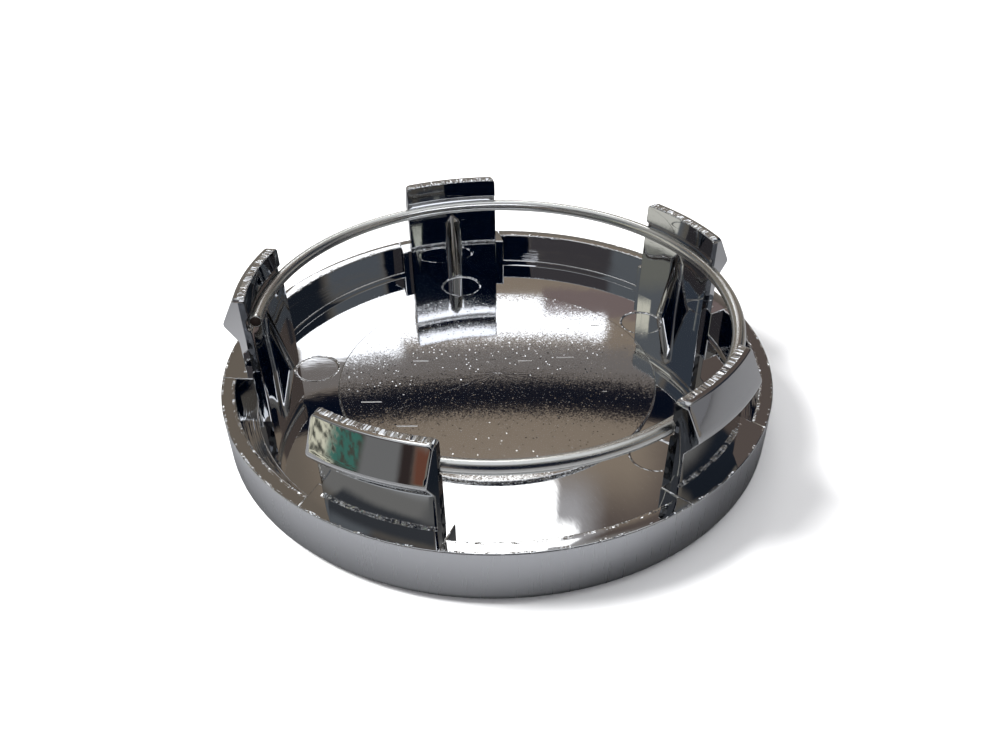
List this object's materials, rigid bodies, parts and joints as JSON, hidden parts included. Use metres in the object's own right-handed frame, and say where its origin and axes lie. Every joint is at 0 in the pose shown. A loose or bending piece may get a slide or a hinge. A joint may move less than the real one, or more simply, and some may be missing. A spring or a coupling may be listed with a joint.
{
  "type": "wheel centre cap",
  "caption": "Round chrome-plated snap-in wheel centre cap lying on its face, with hooked legs, stiffening ribs and an open spring wire ring that holds the legs apart.",
  "frame": {"origin": "centre of the front face, on the plane that the cap rests on", "axes": "+Z from the front face to the back, along the legs; +X through the middle of the leg opposite the gap in the wire ring"},
  "size_m": [0.06, 0.06, 0.0156],
  "materials": {
    "chrome_plated_abs": "mirror chrome plating, satin on the outer side of the rim and on the round pad inside",
    "spring_steel_wire": "bright drawn wire"
  },
  "bodies": {
    "root": {"cap_body": "chrome_plated_abs", "spring_wire": "spring_steel_wire"}
  },
  "joints": []
}
